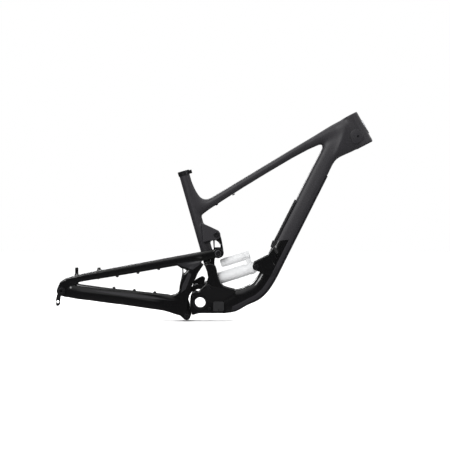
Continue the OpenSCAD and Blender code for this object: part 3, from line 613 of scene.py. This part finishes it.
def port_cover(side, sign):
    """Rounded cover over the cable port, narrower toward the top of the head tube, with a chamfered rim."""
    long, wide, inner, face, rim = 24, 20, 24.5, 30.3, 1.6
    centre = HEAD_BOTTOM + 0.34 * HEAD_LENGTH * HEAD_UP - 13 * MM * HEAD_ACROSS
    outline = []
    for k in range(72):
        angle = 2 * math.pi * k / 72
        c, s = math.cos(angle), math.sin(angle)
        up = long * math.copysign(abs(c) ** 0.75, c) * (1 if c > 0 else 0.86)
        back = wide * math.copysign(abs(s) ** 0.62, s) * (1 - 0.16 * c)
        point = centre / MM - HEAD_ACROSS * back + HEAD_UP * up
        outline.append((point.x, point.z))
    piece = slab(f"port_cover_{side}", outline, inner, face)
    modify(piece, "BEVEL", width=rim * MM, segments=3, limit_method="ANGLE", angle_limit=math.radians(60))
    if sign < 0:
        piece.data.transform(Matrix.Scale(-1, 4, SIDE))
        piece.data.flip_normals()
    smooth(piece, 40)
    finished(piece, "front_triangle", "matte_charcoal_carbon", charcoal, f"cable_port_{side}")


front_shell()
rear_shell()
port_cover("left", 1)
port_cover("right", -1)

# ---------------------------------------------------------------- hardware: CAD nodes with their edges rounded

EDGE = {
    "upper_link_left": 1.2, "upper_link_right": 1.2, "lower_link": 1.4, "seat_clamp": 0.6, "storage_door": 0.9,
    "storage_latch": 0.5, "chain_guide_cover": 0.8, "derailleur_hanger": 0.7, "shock_head": 0.7,
    "shock_air_can": 0.6, "shock_reservoir": 0.6, "compression_lever": 0.4, "bottom_bracket_sleeve": 0.4,
    "upper_pivot_axle": 0.4, "lower_pivot_bolts": 0.4, "shock_front_bolts": 0.4, "stay_pivot_axle": 0.4,
    "shock_rear_bolt": 0.4, "lower_stay_axle": 0.4, "thru_axle": 0.4, "hanger_bolt": 0.3, "seat_clamp_bolt": 0.3,
    "cable_port_bolts": 0.3, "head_badge": 0.5, "bottle_bolts": 0.3, "top_tube_bolts": 0.3,
    "chain_guide_bolts": 0.3, "hose_guides": 1.2, "upper_link_crossbar": 0.5, "shock_shaft": 0.4,
    "shock_eyelet": 0.5, "rebound_knob": 0.4,
}


def softened(node, width):
    """Copy of a node with its edges rounded over a width in mm."""
    piece = joined(node + "_soft", [nodes[node].data])
    bm = bmesh.new()
    bm.from_mesh(piece.data)
    bmesh.ops.dissolve_limit(bm, angle_limit=math.radians(1), verts=bm.verts, edges=bm.edges)
    bm.to_mesh(piece.data)
    bm.free()
    modify(
        piece, "BEVEL", width=width * MM, segments=2, limit_method="ANGLE", angle_limit=math.radians(40),
        use_clamp_overlap=True,
    )
    smooth(piece, 38)
    modify(piece, "WEIGHTED_NORMAL", keep_sharp=True)
    material = LOOK.get(node, MATERIAL[SLOT[node]])
    finished(piece, nodes[node]["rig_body"], SLOT[node], material, node)


for name, width in EDGE.items():
    softened(name, width)

for name, node in nodes.items():
    node.data.materials.clear()
    node.data.materials.append(MATERIAL[SLOT[name]])

# ---------------------------------------------------------------- stage


def stage_floor():
    """Pale floor under the part, kept out of reflections so that the gloss black stays dark."""
    bpy.ops.mesh.primitive_plane_add(size=30, location=(0, 0, -0.0605))
    floor = bpy.context.object
    floor.name = "floor"
    pale = Paint("pale_floor", Roughness=0.9)
    pale.colour(pale.blend(pale.noise(3, 3), (0.9, 0.9, 0.9), (0.93, 0.93, 0.93)))
    pale.bump(pale.noise(400, 2), 0.02, 0.1)
    floor.data.materials.append(pale.material)
    floor.visible_glossy = False


# Brightness of the dome, from straight down (0) past the horizon (0.5) to straight up (1).
DOME = ((0.0, 0.3), (0.49, 0.1), (0.56, 0.06), (0.68, 0.55), (0.8, 1.4), (1.0, 1.6))


def studio_world():
    """Dome that lights the part, behind which the camera sees plain white."""
    world = bpy.data.worlds.new("studio")
    bpy.context.scene.world = world
    world.use_nodes = True
    tree = world.node_tree
    coordinates = tree.nodes.new("ShaderNodeTexCoord")
    split = tree.nodes.new("ShaderNodeSeparateXYZ")
    spread = tree.nodes.new("ShaderNodeMapRange")
    spread.inputs["From Min"].default_value = -1
    dome = tree.nodes.new("ShaderNodeValToRGB")
    while len(dome.color_ramp.elements) < len(DOME):
        dome.color_ramp.elements.new(0.5)
    for element, (place, value) in zip(dome.color_ramp.elements, DOME):
        element.position = place
        element.color = (value, value, value, 1)
    path = tree.nodes.new("ShaderNodeLightPath")
    seen = tree.nodes.new("ShaderNodeMix")
    seen.data_type = "RGBA"
    seen.inputs[7].default_value = (1, 1, 1, 1)
    for source, target in (
        (coordinates.outputs["Generated"], split.inputs[0]),
        (split.outputs["Z"], spread.inputs["Value"]),
        (spread.outputs["Result"], dome.inputs["Fac"]),
        (path.outputs["Is Camera Ray"], seen.inputs["Factor"]),
        (dome.outputs["Color"], seen.inputs[6]),
        (seen.outputs[2], tree.nodes["Background"].inputs["Color"]),
    ):
        tree.links.new(source, target)


def lamp(name, place, target, size, energy):
    data = bpy.data.lights.new(name, "AREA")
    data.shape = "RECTANGLE"
    data.size, data.size_y = size
    data.energy = energy
    piece = bpy.data.objects.new(name, data)
    bpy.context.scene.collection.objects.link(piece)
    piece.location = place
    piece.rotation_euler = (Vector(target) - Vector(place)).to_track_quat("-Z", "Y").to_euler()


def side_camera():
    """Long lens square to the drive side, as wide at the part as the picture."""
    distance, view_width, sensor = 6, 1.476, 36
    data = bpy.data.cameras.new("camera")
    camera = bpy.data.objects.new("camera", data)
    bpy.context.scene.collection.objects.link(camera)
    camera.location = (0.0813, -distance, 0.2532)
    camera.rotation_euler = (math.radians(90), 0, 0)
    data.lens = sensor * distance / view_width
    data.clip_end = 60
    bpy.context.scene.camera = camera


stage_floor()
studio_world()
for sign in (-1, 1):
    lamp(f"key_{sign + 1}", (-1.2, sign * 2.3, 1.5), (0.05, 0, 0.25), (1.4, 0.8), 54)
    lamp(f"fill_{sign + 1}", (1.9, sign * 1.5, 0.8), (0.1, 0, 0.2), (0.3, 1.4), 6)
lamp("top", (0, 0, 2.4), (0, 0, 0), (3.2, 0.2), 14)
side_camera()
bpy.context.scene.view_settings.view_transform = "Standard"
